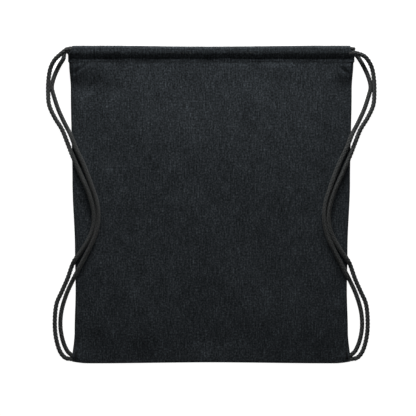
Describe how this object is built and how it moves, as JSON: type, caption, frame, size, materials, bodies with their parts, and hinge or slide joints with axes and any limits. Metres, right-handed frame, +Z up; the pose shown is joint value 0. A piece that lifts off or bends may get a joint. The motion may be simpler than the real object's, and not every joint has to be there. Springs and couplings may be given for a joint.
{
  "type": "drawstring backpack",
  "caption": "Flat cotton drawstring backpack whose two braided cords run through casings at the mouth and hang beside the bag as shoulder straps.",
  "frame": {"origin": "under the middle of the bag, on the plane that its back panel rests on", "axes": "+X to the right across the bag seen from the front, +Y from the bottom seam to the mouth, +Z up from the back panel to the front panel"},
  "size_m": [0.4278, 0.41, 0.0174],
  "materials": {
    "cotton_cloth": "matt woven cotton, charcoal black with a fine speckled weave",
    "channel_cloth": "the same woven cotton, folded double and puckered over the cords",
    "seam_thread": "black spun polyester sewing thread",
    "braided_cord": "black braided cotton cord, slightly lighter than the cloth"
  },
  "bodies": {
    "bag": {"front_panel": "cotton_cloth", "back_panel": "cotton_cloth", "left_side_seam": "cotton_cloth", "right_side_seam": "cotton_cloth", "bottom_seam": "cotton_cloth", "front_casing": "channel_cloth", "back_casing": "channel_cloth", "front_hem_stitching": "seam_thread", "back_hem_stitching": "seam_thread", "left_seam_overlock": "seam_thread", "right_seam_overlock": "seam_thread", "bottom_seam_overlock": "seam_thread", "left_vent_tack": "seam_thread", "right_vent_tack": "seam_thread", "left_cord_anchor_tack": "seam_thread", "right_cord_anchor_tack": "seam_thread", "left_outer_strand": "braided_cord", "left_inner_strand": "braided_cord", "right_outer_strand": "braided_cord", "right_inner_strand": "braided_cord"},
    "left_mouth_end": {"front_left_casing_hem": "channel_cloth", "back_left_casing_hem": "channel_cloth", "right_cord_channel_run": "braided_cord"},
    "right_mouth_end": {"front_right_casing_hem": "channel_cloth", "back_right_casing_hem": "channel_cloth", "left_cord_channel_run": "braided_cord"}
  },
  "joints": [
    {"name": "left_cord_cinch", "type": "slide", "parent": "bag", "child": "right_mouth_end", "axis": [-1, 0, 0], "range_m": [0, 0.105], "deforming": ["front_right_casing_hem", "back_right_casing_hem", "left_cord_channel_run", "left_outer_strand", "left_inner_strand"]},
    {"name": "right_cord_cinch", "type": "slide", "parent": "bag", "child": "left_mouth_end", "axis": [1, 0, 0], "range_m": [0, 0.105], "deforming": ["front_left_casing_hem", "back_left_casing_hem", "right_cord_channel_run", "right_outer_strand", "right_inner_strand"]}
  ]
}
